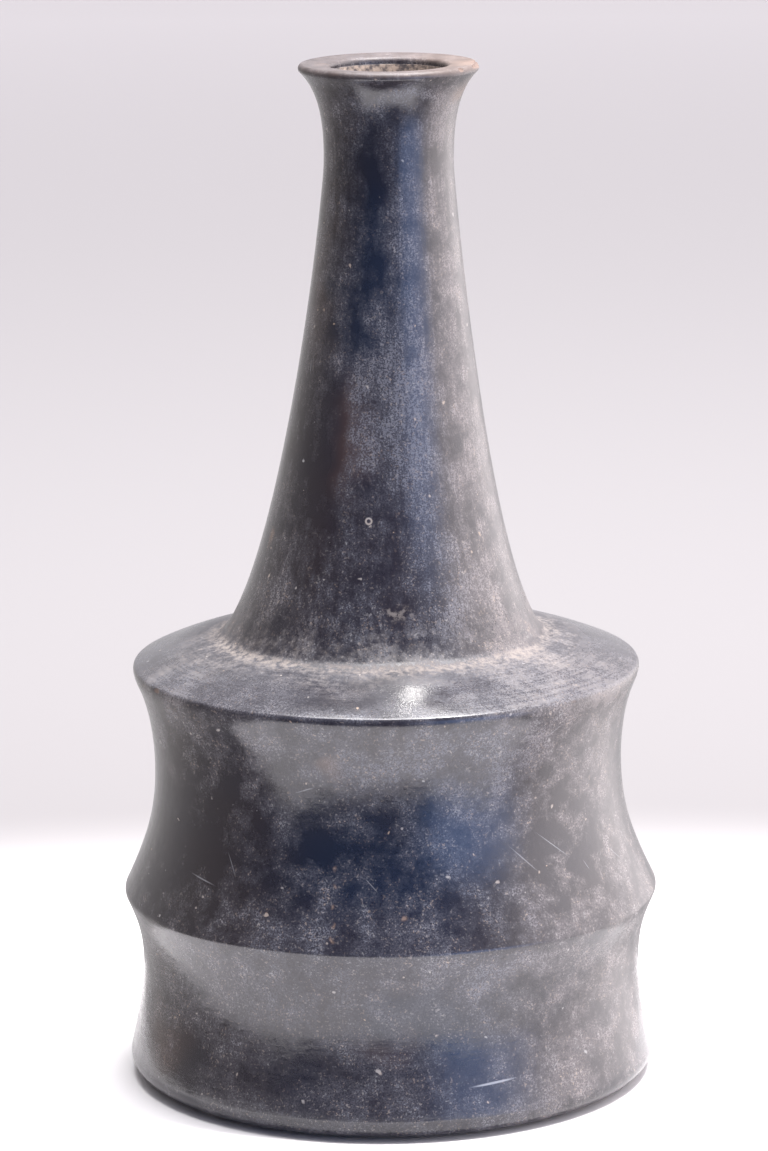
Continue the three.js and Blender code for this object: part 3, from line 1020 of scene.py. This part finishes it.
def lit(share, colour, under):
    """The glow's colour added to what is under it."""
    settings = {"data_type": "RGBA", "blend_type": "ADD", "clamp_factor": False}
    return Wire.node(sky, "ShaderNodeMix", settings, {0: share, 6: under, 7: colour}, 2)


walls = Wire.node(sky, "ShaderNodeValToRGB", {"stops": ROOM}, {0: bearing})
around_jar = mixed(sky, up.rise(0.75, 0.95), walls, OPEN_CEILING)
around_jar = lit(glow(104, 8, 62), WHITE_GLOW, around_jar)
around_jar = lit(glow(40, -8, 31), BLUE_GLOW, around_jar)
seen = Wire.node(sky, "ShaderNodeLightPath", None, None, "Is Camera Ray")
shown = mixed(sky, seen, around_jar, BACKDROP)
background = Wire.node(sky, "ShaderNodeBackground", None, {"Color": shown, "Strength": 1.0})
Wire.node(sky, "ShaderNodeOutputWorld", None, {"Surface": background})
print("room ready,", len(sky.nodes), "nodes")

# %% [markdown]
# Lamps. A large soft light above brightens the shoulder and the lip. The small round spot on the
# shoulder is a reflection of a reflection: the shoulder mirrors the foot of the neck, and the neck
# mirrors one small strong lamp, high on the front right. One reflection is not enough there: the
# nearly flat shoulder, seen from this low, mirrors the neck.

# %% Two lamps


def lamp(name, place, aim, wide, tall, radiance, colour, shape="RECTANGLE"):
    """A soft light of this size that shines this brightly at its aim."""
    data = bpy.data.lights.new(name, "AREA")
    data.shape = shape
    data.size, data.size_y = wide, tall
    data.energy = radiance * math.pi * wide * tall
    data.color = colour
    piece = bpy.data.objects.new(name, data)
    piece.location = place
    piece.rotation_euler = (Vector(aim) - Vector(place)).to_track_quat("-Z", "Y").to_euler()
    piece.visible_camera = False
    bpy.context.scene.collection.objects.link(piece)
    return piece


BODY = Vector((0, 0, 0.12))
SMALL_LAMP_AWAY = 1.3
SMALL_LAMP = BODY + direction_to(60, 73) * SMALL_LAMP_AWAY
lamp("overhead", (0.08, 0.04, 1.20), (0.02, 0.0, 0), 0.85, 0.72, 14.0, (1.0, 0.98, 0.99))
lamp("front_lamp", SMALL_LAMP, BODY, 0.08, 0.08, 760.0, (1.0, 0.97, 0.95), "ELLIPSE")
print("2 lamps, the small one at", [round(v, 2) for v in SMALL_LAMP], "m")

# %% [markdown]
# Camera. Its place, tilt and lens were fitted to the jar's own outline and rings, which a camera
# placed by eye would only come near to.

# %% Camera
FOCAL_LENGTH, PITCH, ROLL = 164.18, 12.4, -0.62
CAMERA_PLACE = (-0.000854, -1.335688, 0.426103)
lens = bpy.data.cameras.new("camera")
lens.sensor_width = 36
lens.lens = FOCAL_LENGTH
camera = bpy.data.objects.new("camera", lens)
bpy.context.scene.collection.objects.link(camera)
tilt = Matrix.Rotation(math.radians(90 - PITCH), 4, "X")
tilt = tilt @ Matrix.Rotation(math.radians(ROLL), 4, "Z")
camera.matrix_world = Matrix.Translation(CAMERA_PLACE) @ tilt
scene.camera = camera
scene.view_settings.view_transform = "Standard"
print("camera", [round(v, 3) for v in camera.matrix_world.translation])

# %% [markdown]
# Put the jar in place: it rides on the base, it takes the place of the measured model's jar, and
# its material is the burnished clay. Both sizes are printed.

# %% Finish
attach(jar, "root")
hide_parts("jar")
bpy.context.view_layer.update()
corners = [jar.matrix_world @ vertex.co for vertex in jar.data.vertices]
visual = [[f(c[i] for c in corners) for i in range(3)] for f in (min, max)]
print("visual box", visual)
